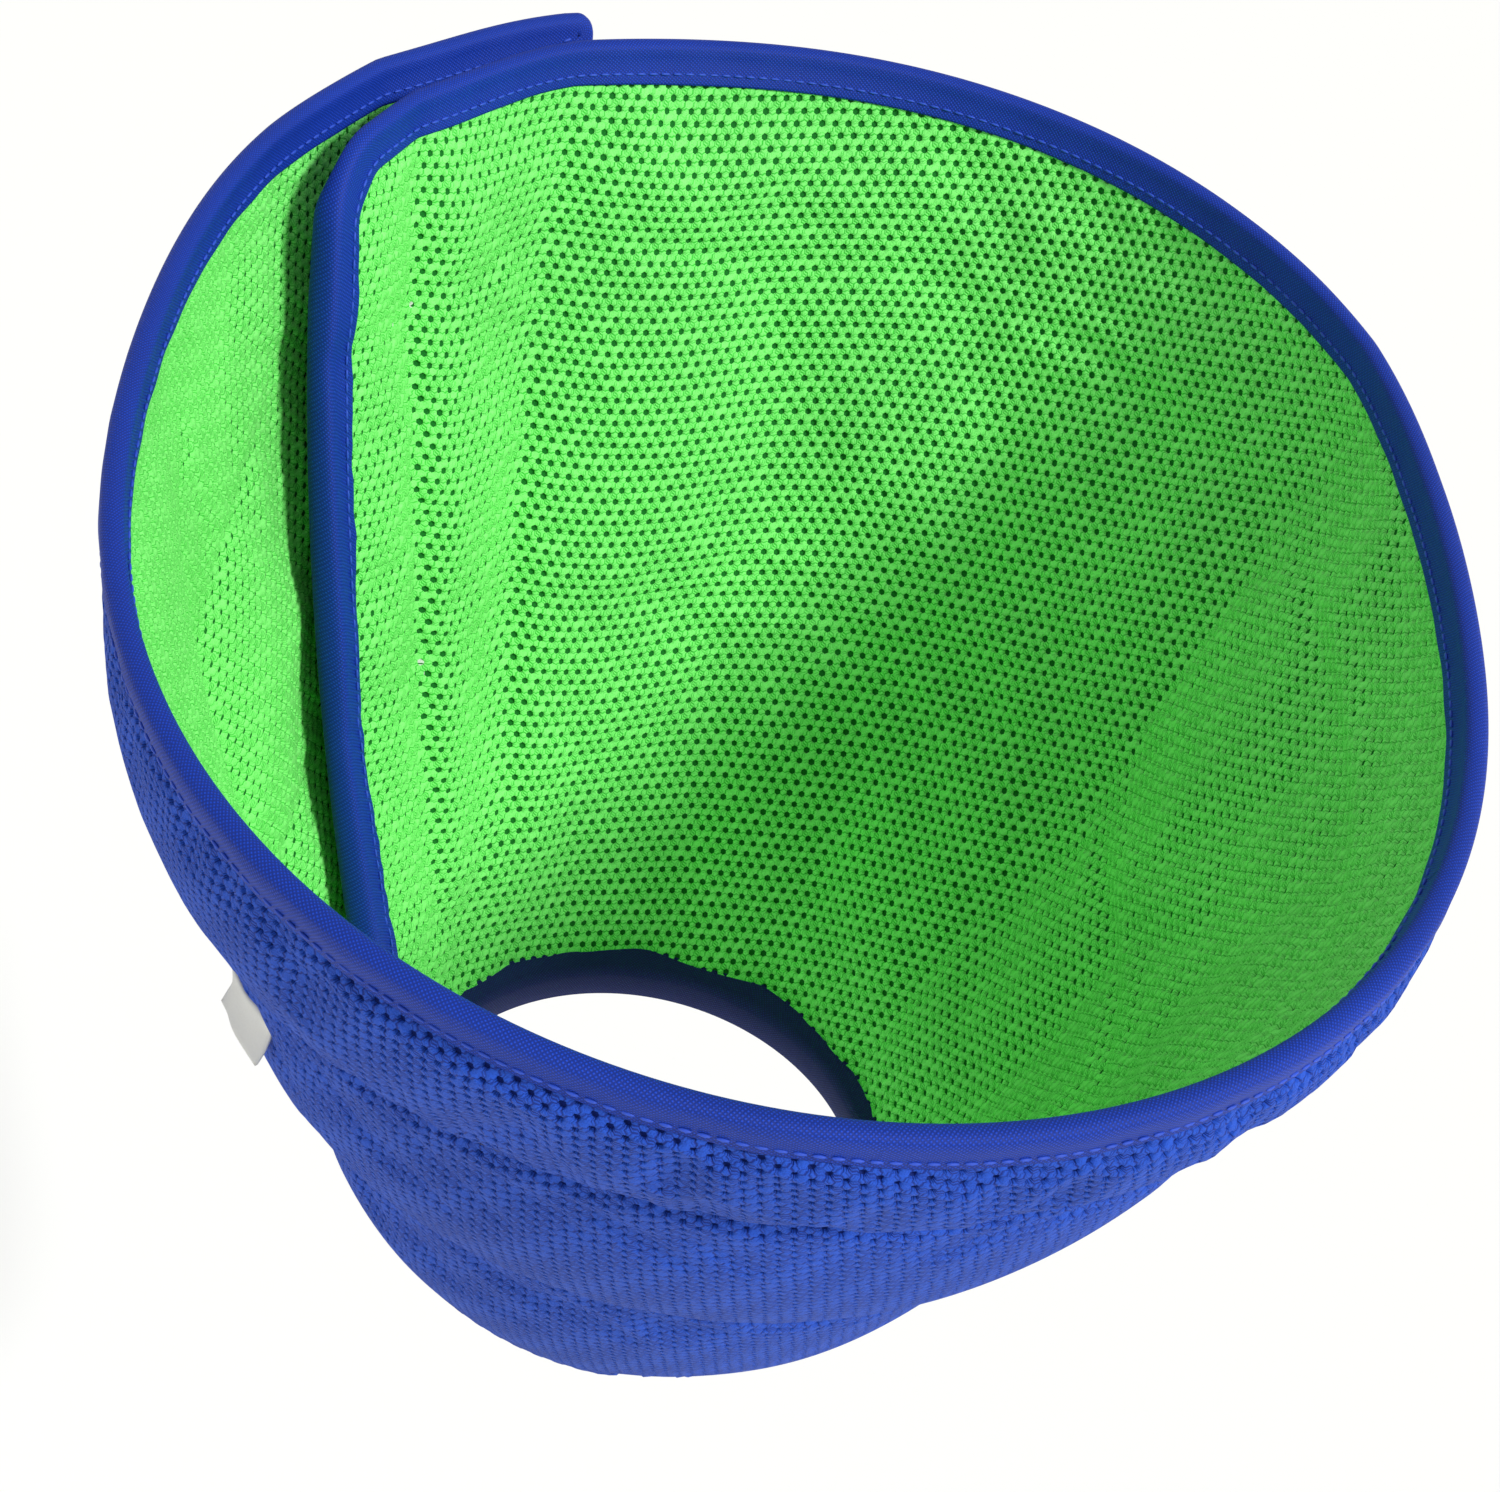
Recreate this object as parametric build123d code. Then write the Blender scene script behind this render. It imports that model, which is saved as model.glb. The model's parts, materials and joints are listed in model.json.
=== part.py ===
"""Soft padded recovery collar for a dog: a wide open cone of laminated mesh.

The origin is the centre of the neck opening, +Z runs from the neck to the rim and -Y is the
side that faces away from the closure's outer corner.  The wall is one long strip wound round
the neck.  Its start, the outer end, lies outside its finish, the flap, and hook and loop tape
holds the two together.  Undone, the strip unrolls flat, so it is built as nine panels that
hinge on one another along straight lines from neck to rim.
"""
from build123d import *
import math
import os

# ---- driving dimensions: millimetres and degrees ----
DEPTH = 270.0               # neck opening to rim, along the axis
RIM_RADIUS = 200.0          # mean radius of the wall's outer face at the rim
RIM_OVAL = 28.0             # how far the rim is pulled out of round
RIM_OVAL_AZIMUTH = 97.0     # azimuth of the rim's long axis
NECK_RADIUS = 70.0          # inner radius of the neck band
OUTER_END_AZIMUTH = 117.5   # azimuth where the strip starts, at its outer end
PANEL_SPANS = (47.0, 47.0, 47.0, 47.0, 48.0, 47.0, 39.5, 39.5, 32.0)
ROOT_PANEL = 4              # counted from zero: the panel opposite the closure

# ---- the laminate, true thickness across the wall ----
OUTER_MESH = 1.6
FOAM = 4.4
LINING = 1.2
BINDING = 0.8               # one layer of the binding tape

# ---- edges ----
RIM_TAPE_LEG = 11.0         # how far the rim tape reaches down each face
NECK_BAND_HEIGHT = 12.0
END_TAPE_LEG = 10.0         # how far the end tape reaches in from a free end
HINGE_STANDOFF = 2.6        # hinge line outside the wall's outer face

# ---- the lap: the flap inside the outer end ----
RIM_GAP = 6.0               # between the layers at the rim
NECK_GAP = 4.4              # between the layers at the neck
FLAP_STANDOFF = 4.0         # how much further the flap's free edge stands in at the rim
FLAP_LEAN = 30.0            # how much further round the flap reaches at the neck than at the rim
FLAP_TIERS = 6              # straight lengths that follow the leaning edge
NECK_LAP_FADE = 30.0        # angle over which the outer end steps out at the neck
RIM_LAP_FADE = 70.0         # angle over which the flap steps in at the rim

# ---- fastening tabs and label ----
TAB_COUNT = 3
TAB_WIDTH = 26.0            # along the wall
TAB_HEIGHT = 38.0
TAB_INSET = 14.0            # from the outer end's edge
HOOK_TAPE = 1.4
LOOP_TAPE = 1.4
LOOP_MARGIN = 5.0           # how much longer the loop tape is than the hook tape, each side
LAID_INTO = 3.0             # a flat blank reaches this far into the wall, then is cut to its face
LABEL_AZIMUTH = 229.0
LABEL_WIDTH = 20.0
LABEL_HEIGHT = 13.0
LABEL_THICKNESS = 0.6
LABEL_TOP = 157.0           # height of the label's upper edge above the neck

SLANT = math.atan2(RIM_RADIUS - NECK_RADIUS, DEPTH)
ACROSS = 1.0 / math.cos(SLANT)          # horizontal distance across one millimetre of wall
WALL = OUTER_MESH + FOAM + LINING
WRAP = sum(PANEL_SPANS)
NECK_OVERLAP = WRAP + FLAP_LEAN - 360.0
TIER = DEPTH / FLAP_TIERS
EDGES = [sum(PANEL_SPANS[:k]) for k in range(len(PANEL_SPANS) + 1)]


def fade(value, low, high):
    """Smooth step from 0 at low to 1 at high."""
    t = min(1.0, max(0.0, (value - low) / (high - low)))
    return t * t * (3.0 - 2.0 * t)


def rim_face(wrap):
    """Radius of the wall's outer face at the rim, at a wrap angle from the outer end."""
    azimuth = OUTER_END_AZIMUTH + wrap
    oval = RIM_OVAL * math.cos(math.radians(2.0 * (azimuth - RIM_OVAL_AZIMUTH)))
    lap = (WALL + 2.0 * BINDING) * ACROSS + RIM_GAP
    step_in = lap * fade(wrap, 360.0 - RIM_LAP_FADE, 360.0)
    curl = FLAP_STANDOFF * fade(wrap, 360.0, WRAP)
    return RIM_RADIUS + oval - step_in - curl


def neck_face(wrap):
    """Radius of the wall's outer face at the neck."""
    lap = (WALL + 2.0 * BINDING) * ACROSS + NECK_GAP
    step_out = lap * (1.0 - fade(wrap, NECK_OVERLAP, NECK_OVERLAP + NECK_LAP_FADE))
    return NECK_RADIUS + (WALL + BINDING) * ACROSS + step_out


def stretched(z):
    """How much longer the flap's panel is at height z than at the rim, as a factor."""
    return 1.0 + FLAP_LEAN * (1.0 - z / DEPTH) / PANEL_SPANS[-1]


def on_tier(wrap, z, depth_in):
    """Point on the wall at the top or bottom of a tier of the flap."""
    wrap += max(0.0, wrap - EDGES[-2]) * (stretched(z) - 1.0)
    radius = neck_face(wrap) + (rim_face(wrap) - neck_face(wrap)) * z / DEPTH
    radius -= depth_in * ACROSS
    azimuth = math.radians(OUTER_END_AZIMUTH + wrap)
    return Vector(radius * math.cos(azimuth), radius * math.sin(azimuth), z)


def place(wrap, z, depth_in):
    """Point at a wrap angle and height, depth_in millimetres of wall inside the outer face."""
    low = TIER * min(FLAP_TIERS - 1, max(0, z // TIER))
    bottom = on_tier(wrap, low, depth_in)
    top = on_tier(wrap, low + TIER, depth_in)
    return bottom + (top - bottom) * ((z - low) / TIER)


def ring_face(z, wraps, outer_in, inner_in):
    """Flat face at height z between two depths in the wall, over three wrap angles."""
    outer = [place(w, z, outer_in) for w in wraps]
    inner = [place(w, z, inner_in) for w in wraps]
    edges = [
        ThreePointArc(outer[0], outer[1], outer[2]),
        Line(outer[2], inner[2]),
        ThreePointArc(inner[2], inner[1], inner[0]),
        Line(inner[0], outer[0]),
    ]
    return Face(Wire(edges))


def thirds(start, end):
    """Start, middle and end of a stretch of wrap."""
    return (start, (start + end) / 2.0, end)


def tiered(low, high):
    """Two heights and the ends of the flap's tiers between them."""
    between = [TIER * k for k in range(1, FLAP_TIERS) if low < TIER * k < high]
    return [low, *between, high]


def slab(start, end, low, high, outer_in, inner_in):
    """Curved slab of wall between two wrap angles, two heights and two depths."""
    heights = tiered(low, high) if end > EDGES[-2] else (low, high)
    faces = [ring_face(z, thirds(start, end), outer_in, inner_in) for z in heights]
    return loft(faces, ruled=True)


def wall(start, end):
    """The whole laminate between two wrap angles."""
    return slab(start, end, 0.0, DEPTH, 0.0, WALL)


def outer_mesh(start, end):
    return slab(start, end, 0.0, DEPTH, 0.0, OUTER_MESH)


def foam_board(start, end):
    return slab(start, end, 0.0, DEPTH, OUTER_MESH, OUTER_MESH + FOAM)


def lining(start, end):
    return slab(start, end, 0.0, DEPTH, OUTER_MESH + FOAM, WALL)


def rim_binding(start, end):
    """Folded tape over the rim: two legs and a top."""
    low = DEPTH - RIM_TAPE_LEG
    tape = slab(start, end, low, DEPTH + BINDING, -BINDING, WALL + BINDING)
    return tape - wall(start, end)


def neck_band(start, end):
    """Soft roll round the neck edge.  Its inner face is upright where it bears on the neck."""
    wraps = thirds(start, end)
    bears = start >= NECK_OVERLAP
    faces = []
    for z in (-BINDING, NECK_BAND_HEIGHT):
        outer = [place(w, z, -BINDING) for w in wraps]
        seat = [place(w, 0.0 if bears else max(z, 0.0), WALL + BINDING) for w in wraps]
        inner = [Vector(p.X, p.Y, z) for p in seat]
        edges = [
            ThreePointArc(outer[0], outer[1], outer[2]),
            Line(outer[2], inner[2]),
            ThreePointArc(inner[2], inner[1], inner[0]),
            Line(inner[0], outer[0]),
        ]
        faces.append(Face(Wire(edges)))
    return loft(faces, ruled=True) - wall(start, end)


def along(wrap, z, distance):
    """Wrap angle that lies a distance along the wall from a wrap angle, at height z."""
    girth = (place(wrap + 0.5, z, 0.0) - place(wrap - 0.5, z, 0.0)).length
    return wrap + distance / girth


def end_binding(edge, inward, start, end):
    """Folded tape over a free end of the panel from start to end."""
    faces = []
    for z in tiered(NECK_BAND_HEIGHT, DEPTH - RIM_TAPE_LEG):
        near = along(edge, z, -inward * BINDING)
        far = along(edge, z, inward * END_TAPE_LEG)
        wraps = thirds(min(near, far), max(near, far))
        faces.append(ring_face(z, wraps, -BINDING, WALL + BINDING))
    return loft(faces, ruled=True) - wall(start, end)


def behind(wrap, z):
    """Wrap angle on the flap that lies inside a wrap angle on the outer end."""
    return EDGES[-2] + (wrap + 360.0 - EDGES[-2]) / stretched(z)


def tab(z, margin, outer_in, inner_in, on_flap):
    """Piece of fastening tape near the outer end, or over the flap inside it."""
    faces = []
    for level in (z - TAB_HEIGHT / 2.0 - margin, z + TAB_HEIGHT / 2.0 + margin):
        wraps = [along(0.0, level, reach) for reach in (TAB_INSET - margin, TAB_INSET + TAB_WIDTH + margin)]
        if on_flap:
            wraps = [behind(wrap, level) for wrap in wraps]
        faces.append(ring_face(level, thirds(*wraps), outer_in, inner_in))
    return loft(faces, ruled=True)


def laid_on(blanks, panel_wall):
    """Flat blanks cut to the face of the wall that they lie on."""
    return Compound([solid for blank in blanks for solid in (blank - panel_wall).solids()])


def hook_tabs():
    """Hook tape on the inner face of the outer end."""
    blanks = [tab(z, 0.0, WALL - LAID_INTO, WALL + HOOK_TAPE, False) for z in tab_heights()]
    return laid_on(blanks, wall(EDGES[0], EDGES[1]))


def loop_tabs():
    """Loop tape on the outer face of the flap, behind the hooks."""
    blanks = [tab(z, LOOP_MARGIN, -LOOP_TAPE, LAID_INTO, True) for z in tab_heights()]
    return laid_on(blanks, wall(EDGES[-2], EDGES[-1]))


def care_label():
    """Blank woven label sewn flat on the outer mesh."""
    wrap = LABEL_AZIMUTH - OUTER_END_AZIMUTH
    half = (along(wrap, LABEL_TOP, LABEL_WIDTH) - wrap) / 2.0
    low = LABEL_TOP - LABEL_HEIGHT
    label = slab(wrap - half, wrap + half, low, LABEL_TOP, -LABEL_THICKNESS, LAID_INTO)
    panel = sum(1 for edge in EDGES[1:] if edge < wrap)
    return label - wall(EDGES[panel], EDGES[panel + 1])


def tab_heights():
    """Evenly spaced heights for the fastening tabs."""
    pitch = (DEPTH - RIM_TAPE_LEG - NECK_BAND_HEIGHT) / TAB_COUNT
    return [NECK_BAND_HEIGHT + pitch * (k + 0.5) for k in range(TAB_COUNT)]


def hinge_line(edge):
    """Two points on the fold between two panels."""
    return place(edge, 0.0, -HINGE_STANDOFF), place(edge, DEPTH, -HINGE_STANDOFF)


def save(name, shape):
    export_step(shape, f"parts/{name}.step")
    print(f"{name:20s} {shape.volume:10.1f} mm3")


def main():
    os.makedirs("parts", exist_ok=True)
    layers = {
        "outer_mesh": outer_mesh,
        "foam_board": foam_board,
        "lining": lining,
        "rim_binding": rim_binding,
        "neck_band": neck_band,
    }
    for k in range(len(PANEL_SPANS)):
        for name, make in layers.items():
            save(f"{name}_{k + 1}", make(EDGES[k], EDGES[k + 1]))
    save("outer_end_binding", end_binding(0.0, 1.0, EDGES[0], EDGES[1]))
    save("flap_end_binding", end_binding(WRAP, -1.0, EDGES[-2], EDGES[-1]))
    save("hook_tabs", hook_tabs())
    save("loop_tabs", loop_tabs())
    save("care_label", care_label())
    for edge in EDGES[1:-1]:
        low, high = hinge_line(edge)
        print(f"fold at {edge:6.1f} deg: {tuple(low)} to {tuple(high)}")


main()
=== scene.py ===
# %% [markdown]
# # A soft padded recovery collar
# The collar is a wide open cone of laminated mesh: a green lining inside, a foam board, and a
# thick blue spacer mesh outside that is quilted into three tiers.  Bias tape binds its edges.
# This lesson rebuilds the soft look round a fixed frame of nine hinged panels.

# %% Load the frame
import bmesh
import bpy
import json
import math
import numpy as np
from mathutils import Matrix, Vector


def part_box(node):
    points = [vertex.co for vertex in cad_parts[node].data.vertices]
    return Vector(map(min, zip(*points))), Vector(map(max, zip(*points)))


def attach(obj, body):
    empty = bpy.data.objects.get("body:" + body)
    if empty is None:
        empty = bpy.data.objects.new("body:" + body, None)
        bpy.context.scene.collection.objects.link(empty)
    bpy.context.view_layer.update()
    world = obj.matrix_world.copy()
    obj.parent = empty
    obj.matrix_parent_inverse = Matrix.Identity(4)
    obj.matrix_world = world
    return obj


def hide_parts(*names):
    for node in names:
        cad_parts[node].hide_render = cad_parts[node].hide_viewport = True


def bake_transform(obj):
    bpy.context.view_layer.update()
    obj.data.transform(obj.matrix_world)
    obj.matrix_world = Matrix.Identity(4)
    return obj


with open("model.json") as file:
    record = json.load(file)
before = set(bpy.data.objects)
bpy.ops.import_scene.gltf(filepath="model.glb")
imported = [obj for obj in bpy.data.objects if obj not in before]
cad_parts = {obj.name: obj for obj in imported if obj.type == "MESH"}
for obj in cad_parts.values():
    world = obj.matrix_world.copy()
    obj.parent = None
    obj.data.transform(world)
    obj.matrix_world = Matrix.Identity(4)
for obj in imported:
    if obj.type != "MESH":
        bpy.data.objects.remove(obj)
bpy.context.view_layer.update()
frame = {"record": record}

# %% [markdown]
# ## The shape of the wall
# The wall is a strip wound 394 degrees round the rim, and 424 round the neck, because its free
# edge leans.  A place on it needs only two numbers: the wrap angle from the strip's outer end,
# and the height share from neck 0 to rim 1.  One function turns them into a point, so every
# layer, tape and stitch follows the same wall.

# %% Named sizes, in metres and degrees
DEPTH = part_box("foam_board_1")[1].z       # neck to rim along the axis
RIM_RADIUS = 0.200
RIM_OVAL = 0.028
RIM_OVAL_AZIMUTH = 97.0
NECK_RADIUS = frame["record"]["mounts"][0]["dims"]["r_mm"] / 1000.0
OUTER_END_AZIMUTH = 117.5
PANEL_SPANS = (47.0, 47.0, 47.0, 47.0, 48.0, 47.0, 39.5, 39.5, 32.0)
WALL = 0.0072
TAPE = 0.0008
RIM_GAP = 0.0060
NECK_GAP = 0.0044
FLAP_STANDOFF = 0.0040
NECK_LAP_FADE = 30.0
RIM_LAP_FADE = 70.0
ACROSS = 1.0 / math.cos(math.atan2(RIM_RADIUS - NECK_RADIUS, DEPTH))
WRAP = sum(PANEL_SPANS)
FLAP_LEAN = 30.0                          # the flap reaches this much further round at the neck
REACH = WRAP + FLAP_LEAN
FOLDS = np.cumsum(PANEL_SPANS)[:-1]
SLANT_LENGTH = DEPTH * ACROSS
print("wrap", WRAP, "slant length mm", round(SLANT_LENGTH * 1000, 1))


# %% Radius of the wall
def fade(value, low, high):
    """Smooth step from 0 at low to 1 at high."""
    t = np.clip((np.asarray(value, float) - low) / (high - low), 0.0, 1.0)
    return t * t * (3.0 - 2.0 * t)


def rim_face(wrap):
    """Radius of the outer face at the rim."""
    oval = RIM_OVAL * np.cos(np.radians(2.0 * (OUTER_END_AZIMUTH + wrap - RIM_OVAL_AZIMUTH)))
    lap = (WALL + 2.0 * TAPE) * ACROSS + RIM_GAP
    return (RIM_RADIUS + oval - lap * fade(wrap, 360.0 - RIM_LAP_FADE, 360.0)
            - FLAP_STANDOFF * fade(wrap, 360.0, WRAP))


def neck_face(wrap):
    """Radius of the outer face at the neck."""
    lap = (WALL + 2.0 * TAPE) * ACROSS + NECK_GAP
    step_out = lap * (1.0 - fade(wrap, REACH - 360.0, REACH - 360.0 + NECK_LAP_FADE))
    return NECK_RADIUS + (WALL + TAPE) * ACROSS + step_out


def flap_end(height):
    """Wrap angle of the flap's free edge."""
    return WRAP + FLAP_LEAN * (1.0 - height)


# %% [markdown]
# ## Tiers, bows and creases
# Worn, the wall bows out between neck and rim, each tier of the outer mesh puffs between its
# ring seams, and the lining keeps the creases of its packing.  Between two creases the cloth
# swells softly inward and meets the next swell in a sharp groove, which a power of a sine gives.

# %% Shape functions of the worn wall
SEAMS = (0.444, 0.815)                    # ring seams, as height shares
BOW = 0.0068
PUFF_OUT = 0.0036
PINCH = 0.0030
RIM_PINCH = 0.0026                        # the binding draws the outer face in at the rim
SEAM_DIP = (0.16, 0.20)                   # how far each seam runs lower on the left side
DIP_WRAP, DIP_WIDTH = 92.0, 44.0
CREASE_LEAN = 16.0                        # the flap's creases lean with its free edge
SWELLS = ((380.5, 396.0, 0.0036, 0.9),    # each from wrap, to wrap, depth and skew
          (362.0, 380.5, 0.0078, 1.5),
          (312.0, 362.0, 0.0100, 2.1))
VALLEY_WRAP, VALLEY_WIDTH, VALLEY_DEPTH, VALLEY_LEAN = 283.0, 20.0, 0.0080, 8.0
LEFT_WRAP, LEFT_WIDTH, LEFT_DEPTH = 71.0, 16.0, 0.0060
GROOVE = 1.5                              # power of a single crease's sides


def seam(number, wrap):
    """Height share of a ring seam, which dips on the collar's left side."""
    dip = np.exp(-((np.asarray(wrap, float) - DIP_WRAP) / DIP_WIDTH) ** 2)
    return SEAMS[number] - SEAM_DIP[number] * dip


def ridge(wrap, centre, width):
    """1 on a crease line, falling to 0 at width degrees from it."""
    return np.clip(1.0 - np.abs(wrap - centre) / width, 0.0, 1.0) ** GROOVE


def bow(height):
    """The wall stands outside the straight cone between neck and rim."""
    return BOW * np.clip(np.sin(np.pi * np.asarray(height, float) ** 1.25), 0.0, 1.0) ** 0.6


def puff(wrap, height):
    """Puffed tiers: full towards the lower seam, tucked in at it."""
    lower, upper = seam(0, wrap), seam(1, wrap)
    low = np.where(height > upper, upper, np.where(height > lower, lower, 0.0))
    high = np.where(height > upper, 1.0, np.where(height > lower, upper, lower))
    x = np.clip((high - height) / (high - low), 0.0, 1.0)
    return np.abs(np.sin(np.pi * x ** 1.45)) ** 0.62


def pillow(wrap, low, high, swell, skew):
    """Inward swell between two creases, with a sharp groove at each."""
    share = np.clip((wrap - low) / (high - low), 0.0, 1.0)
    return swell * np.abs(np.sin(np.pi * share ** skew))


def flap_folds(wrap, height):
    """Inward swells of the flap and of the wall beside it."""
    along = wrap - CREASE_LEAN * (1.0 - height)
    return sum(pillow(along, *swell) for swell in SWELLS)


def creases(wrap, height):
    """Inward shift of the whole wall between its packing creases."""
    rise = fade(height, 0.05, 0.5) * (1.0 - 0.75 * fade(height, 0.86, 1.0))
    flap = flap_folds(wrap, height)
    back = flap_folds(wrap + 360.0, height) * (1.0 - fade(wrap, 22.0, 48.0))
    valley = VALLEY_DEPTH * ridge(wrap + VALLEY_LEAN * (1.0 - height), VALLEY_WRAP, VALLEY_WIDTH)
    left = LEFT_DEPTH * ridge(wrap, LEFT_WRAP, LEFT_WIDTH) * fade(1.0 - height, 0.1, 0.4)
    return (flap + back - valley - left) * rise


def wall_points(wrap, height, across):
    """Points on the wall: across is 0 on the outer face and 1 on the lining's face."""
    wrap, height = np.broadcast_arrays(np.asarray(wrap, float), np.asarray(height, float))
    straight = neck_face(wrap) + (rim_face(wrap) - neck_face(wrap)) * height
    shared = bow(height) - creases(wrap, height)
    full = puff(wrap, height)
    free = fade(wrap, 1.0, 10.0) * fade(flap_end(height) - wrap, 2.0, 12.0)
    outer = PUFF_OUT * full - PINCH * (1.0 - full) * fade(height, 0.0, 0.1)
    outer = free * outer * (1.0 - fade(height, 0.955, 0.985)) - RIM_PINCH * fade(height, 0.94, 0.985)
    inner = 0.5 * PINCH * (1.0 - full) * fade(height, 0.05, 0.2) * (1.0 - fade(height, 0.9, 0.97))
    inner = inner + 0.4 * RIM_PINCH * fade(height, 0.94, 0.985)
    radius = straight + shared + (1.0 - across) * outer + across * (inner - WALL * ACROSS)
    azimuth = np.radians(OUTER_END_AZIMUTH + wrap)
    return np.stack([radius * np.cos(azimuth), radius * np.sin(azimuth), height * DEPTH], axis=-1)


edge = wall_points(np.array([0.0, 150.0, WRAP]), 1.0, 0.0)
print("rim radii mm:", np.round(np.hypot(edge[:, 0], edge[:, 1]) * 1000, 1))

# %% [markdown]
# ## The flat cut
# The mesh is cut flat from a roll before it is wound, and its holes lie on one even lattice.
# Laying the holes out on the flat cut, and carrying them to the wall, keeps their spacing even
# from neck to rim, as cloth does.  The cut is a sector of a ring.

# %% Flat layout
def path_lengths(points):
    """Running length along a row of points."""
    return np.concatenate([[0.0], np.cumsum(np.linalg.norm(np.diff(points, axis=0), axis=1))])


RING_INNER = float(neck_face(150.0)) / (RIM_RADIUS - NECK_RADIUS) * SLANT_LENGTH
wraps = np.linspace(0.0, REACH, 1653)
rim_line = wall_points(wraps, 1.0, 0.0)
rim_length = path_lengths(rim_line)
RING_OUTER = RING_INNER + SLANT_LENGTH
turn = rim_length / RING_OUTER
SECTOR = float(turn[-1])
print("rim length mm", round(rim_length[-1] * 1000), "sector deg", round(math.degrees(SECTOR), 1))


def to_wall(flat):
    """Wrap angle and height share of points on the flat cut."""
    angle = np.arctan2(flat[:, 0], flat[:, 1]) + SECTOR / 2.0
    height = (np.hypot(flat[:, 0], flat[:, 1]) - RING_INNER) / SLANT_LENGTH
    return np.interp(angle, turn, wraps), height


# %% [markdown]
# ## Small helpers
# One function adds a shader or geometry node, one turns a hex colour to linear light, and one
# makes a mesh object.  Everything else is built from these.

# %% Helpers
def linear(hex_colour):
    """Linear RGBA from an sRGB hex value such as 2A4FD0."""
    parts = [int(hex_colour[i:i + 2], 16) / 255.0 for i in (0, 2, 4)]
    return (*[c / 12.92 if c <= 0.04045 else ((c + 0.055) / 1.055) ** 2.4 for c in parts], 1.0)


def add(tree, kind, inputs=None, **settings):
    """Add a node; each input is a value or the socket that feeds it."""
    node = tree.nodes.new(kind)
    for name, value in settings.items():
        setattr(node, name, value)
    for key, value in (inputs or {}).items():
        if isinstance(value, bpy.types.NodeSocket):
            tree.links.new(value, node.inputs[key])
        else:
            node.inputs[key].default_value = value
    return node


def grid_faces(index):
    """Quads between neighbours in a grid of point numbers."""
    return np.stack([index[:-1, :-1], index[1:, :-1], index[1:, 1:], index[:-1, 1:]], -1).reshape(-1, 4)


def mesh_object(name, points, faces, edges=(), uv=None):
    """An object at the origin from arrays of points and faces."""
    mesh = bpy.data.meshes.new(name)
    mesh.from_pydata(np.asarray(points).tolist(), [list(e) for e in edges],
                     [list(map(int, f)) for f in faces])
    if uv is not None:
        layer = mesh.uv_layers.new(name="cloth")
        index = np.empty(len(mesh.loops), int)
        mesh.loops.foreach_get("vertex_index", index)
        layer.data.foreach_set("uv", np.asarray(uv, float)[index].ravel())
    mesh.update()
    obj = bpy.data.objects.new(name, mesh)
    bpy.context.scene.collection.objects.link(obj)
    return obj


def smooth(obj):
    """Smooth shading on every face."""
    obj.data.polygons.foreach_set("use_smooth", np.ones(len(obj.data.polygons), bool))
    return obj


def baked(obj):
    """Replace an object's mesh with its evaluated one and drop its modifiers."""
    bpy.context.view_layer.update()
    graph = bpy.context.evaluated_depsgraph_get()
    mesh = bpy.data.meshes.new_from_object(obj.evaluated_get(graph))
    obj.modifiers.clear()
    obj.data = mesh
    return obj


# %% [markdown]
# ## Puffing the tiers with cloth
# A padded tier isn't a clean curve: the mesh is held down at its seams and swells between them,
# with soft puckers.  A coarse sheet of the outer face is pinned along its seams and blown up
# with a little pressure.  Only its shift from the start is kept, as a smooth map over the wall.

# %% Cloth simulation of the outer face
COLUMNS, ROWS = 198, 61
grid_wrap = np.linspace(0.0, REACH, COLUMNS)
grid_height = np.linspace(0.0, 1.0, ROWS)
PUFF_CAP = 0.0030                         # how far a point may move, in metres
CLOTH_STEPS = 20
FLAP_HELD = 4.0                           # wrap degrees held still beside the flap's edge


def swollen(name, across, pressure, shrink, extra_pins):
    """Shift of each grid point after the sheet is pinned at its seams and inflated."""
    wrap, height = np.meshgrid(grid_wrap, grid_height, indexing="ij")
    start = wall_points(wrap.ravel(), height.ravel(), across)
    index = np.arange(COLUMNS * ROWS).reshape(COLUMNS, ROWS)
    sheet = mesh_object(name, start, grid_faces(index))
    pins = sheet.vertex_groups.new(name="seams")
    held = wrap > flap_end(height) - FLAP_HELD
    for share in (np.zeros(COLUMNS), seam(0, grid_wrap), seam(1, grid_wrap)):
        held[np.arange(COLUMNS), np.argmin(np.abs(grid_height - share[:, None]), axis=1)] = True
    for line in (0.0, *extra_pins):
        held[np.argmin(np.abs(grid_wrap - line)), :] = True
    held[:, -3:] = True
    pins.add(index[held].tolist(), 1.0, "REPLACE")
    cloth = sheet.modifiers.new("puff", "CLOTH")
    cloth.settings.quality = 6
    cloth.settings.mass = 0.25
    cloth.settings.vertex_group_mass = "seams"
    cloth.settings.use_pressure = True
    cloth.settings.uniform_pressure_force = pressure
    cloth.settings.shrink_min = shrink
    cloth.settings.effector_weights.gravity = 0.0
    cloth.point_cache.frame_start = 1
    cloth.point_cache.frame_end = CLOTH_STEPS
    scene = bpy.context.scene
    for step in range(1, CLOTH_STEPS + 1):
        scene.frame_set(step)
    graph = bpy.context.evaluated_depsgraph_get()
    result = sheet.evaluated_get(graph).to_mesh()
    moved = np.empty(len(result.vertices) * 3)
    result.vertices.foreach_get("co", moved)
    shift = moved.reshape(-1, 3) - start
    far = np.linalg.norm(shift, axis=1, keepdims=True)
    shift *= np.minimum(1.0, PUFF_CAP / np.maximum(far, 1e-9))
    scene.frame_set(1)
    bpy.data.objects.remove(sheet)
    print(name, "mean shift mm", round(float(far.mean()) * 1000, 2),
          "largest", round(float(far.max()) * 1000, 2))
    return shift.reshape(COLUMNS, ROWS, 3)


outer_shift = swollen("outer_sheet", 0.0, 1.0, -0.012, ())
inner_shift = swollen("inner_sheet", 1.0, -0.4, -0.006, (362.0, 283.0))


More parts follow.
